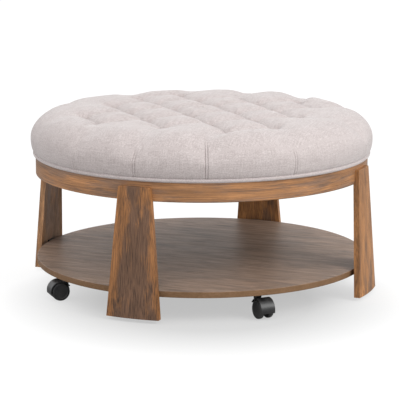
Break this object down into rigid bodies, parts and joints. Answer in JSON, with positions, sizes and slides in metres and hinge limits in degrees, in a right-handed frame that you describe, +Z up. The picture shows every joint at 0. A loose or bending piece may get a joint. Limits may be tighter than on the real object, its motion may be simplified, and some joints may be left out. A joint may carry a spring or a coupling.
{
  "type": "ottoman coffee table",
  "caption": "Round diamond-tufted ottoman on a bent wooden apron ring, with curved tapering legs, a round lower shelf and hooded twin-wheel casters.",
  "frame": {"origin": "on the floor under the middle of the table", "axes": "+Z up; the legs stand on the X and Y axes, the casters between them; the shelf's grain runs along X"},
  "size_m": [0.915, 0.915, 0.46],
  "materials": {
    "upholstery": "pale pinkish grey linen weave",
    "wadding": "soft white polyester wadding",
    "foam": "open-cell upholstery foam",
    "plywood": "bare plywood and softwood",
    "dust_cloth": "black spun dust cloth",
    "twine": "waxed upholstery twine",
    "frame_wood": "orange brown stain, wire-brushed grain with a grey wash, low sheen",
    "shelf_wood": "greyish brown veneer with straight grain, satin",
    "black_plastic": "black nylon",
    "wheel_plastic": "black hard nylon, slightly glossy",
    "black_steel": "black painted steel",
    "zinc_steel": "zinc plated steel",
    "brass_insert": "brass threaded insert"
  },
  "bodies": {
    "root": {"cushion_cover": "upholstery", "wadding": "wadding", "foam_core": "foam", "base_board": "plywood", "dust_cover": "dust_cloth", "welt_piping": "upholstery", "tuft_buttons": "upholstery", "button_ties": "twine", "apron_ring": "frame_wood", "apron_blocks": "plywood", "shelf": "shelf_wood", "shelf_spacers": "black_plastic", "shelf_studs": "zinc_steel", "leg_bolts": "zinc_steel", "leg_washers": "zinc_steel", "leg_inserts": "brass_insert", "cushion_screws": "zinc_steel", "caster_screws": "zinc_steel", "leg_right": "frame_wood", "leg_back": "frame_wood", "leg_left": "frame_wood", "leg_front": "frame_wood", "caster_plate_1": "black_steel", "caster_kingpin_1": "zinc_steel", "caster_bearing_1": "black_plastic", "caster_plate_2": "black_steel", "caster_kingpin_2": "zinc_steel", "caster_bearing_2": "black_plastic", "caster_plate_3": "black_steel", "caster_kingpin_3": "zinc_steel", "caster_bearing_3": "black_plastic", "caster_plate_4": "black_steel", "caster_kingpin_4": "zinc_steel", "caster_bearing_4": "black_plastic"},
    "caster_swivel_1": {"caster_hood_1": "black_plastic", "caster_axle_1": "zinc_steel"},
    "wheel_left_1": {"caster_wheel_left_1": "wheel_plastic"},
    "wheel_right_1": {"caster_wheel_right_1": "wheel_plastic"},
    "caster_swivel_2": {"caster_hood_2": "black_plastic", "caster_axle_2": "zinc_steel"},
    "wheel_left_2": {"caster_wheel_left_2": "wheel_plastic"},
    "wheel_right_2": {"caster_wheel_right_2": "wheel_plastic"},
    "caster_swivel_3": {"caster_hood_3": "black_plastic", "caster_axle_3": "zinc_steel"},
    "wheel_left_3": {"caster_wheel_left_3": "wheel_plastic"},
    "wheel_right_3": {"caster_wheel_right_3": "wheel_plastic"},
    "caster_swivel_4": {"caster_hood_4": "black_plastic", "caster_axle_4": "zinc_steel"},
    "wheel_left_4": {"caster_wheel_left_4": "wheel_plastic"},
    "wheel_right_4": {"caster_wheel_right_4": "wheel_plastic"}
  },
  "joints": [
    {"name": "caster_swivel_1", "type": "hinge", "parent": "root", "child": "caster_swivel_1", "pos_m": [0.2592, -0.28586, 0.05], "axis": [0, 0, 1], "continuous": true},
    {"name": "wheel_left_spin_1", "type": "hinge", "parent": "caster_swivel_1", "child": "wheel_left_1", "pos_m": [0.28794, -0.29395, 0.023], "axis": [0.6561, 0.7547, 0], "continuous": true},
    {"name": "wheel_right_spin_1", "type": "hinge", "parent": "caster_swivel_1", "child": "wheel_right_1", "pos_m": [0.27121, -0.31319, 0.023], "axis": [0.6561, 0.7547, 0], "continuous": true},
    {"name": "caster_swivel_2", "type": "hinge", "parent": "root", "child": "caster_swivel_2", "pos_m": [0.2365, 0.3049, 0.05], "axis": [0, 0, 1], "continuous": true},
    {"name": "wheel_left_spin_2", "type": "hinge", "parent": "caster_swivel_2", "child": "wheel_left_2", "pos_m": [0.24308, 0.33403, 0.023], "axis": [-0.788, 0.6157, 0], "continuous": true},
    {"name": "wheel_right_spin_2", "type": "hinge", "parent": "caster_swivel_2", "child": "wheel_right_2", "pos_m": [0.26317, 0.31833, 0.023], "axis": [-0.788, 0.6157, 0], "continuous": true},
    {"name": "caster_swivel_3", "type": "hinge", "parent": "root", "child": "caster_swivel_3", "pos_m": [-0.2592, 0.28586, 0.05], "axis": [0, 0, 1], "continuous": true},
    {"name": "wheel_left_spin_3", "type": "hinge", "parent": "caster_swivel_3", "child": "wheel_left_3", "pos_m": [-0.28821, 0.29294, 0.023], "axis": [-0.6293, -0.7771, 0], "continuous": true},
    {"name": "wheel_right_spin_3", "type": "hinge", "parent": "caster_swivel_3", "child": "wheel_right_3", "pos_m": [-0.27216, 0.31276, 0.023], "axis": [-0.6293, -0.7771, 0], "continuous": true},
    {"name": "caster_swivel_4", "type": "hinge", "parent": "root", "child": "caster_swivel_4", "pos_m": [-0.2365, -0.3049, 0.05], "axis": [0, 0, 1], "continuous": true},
    {"name": "wheel_left_spin_4", "type": "hinge", "parent": "caster_swivel_4", "child": "wheel_left_4", "pos_m": [-0.24804, -0.33244, 0.023], "axis": [0.6691, -0.7431, 0], "continuous": true},
    {"name": "wheel_right_spin_4", "type": "hinge", "parent": "caster_swivel_4", "child": "wheel_right_4", "pos_m": [-0.2651, -0.31349, 0.023], "axis": [0.6691, -0.7431, 0], "continuous": true}
  ]
}
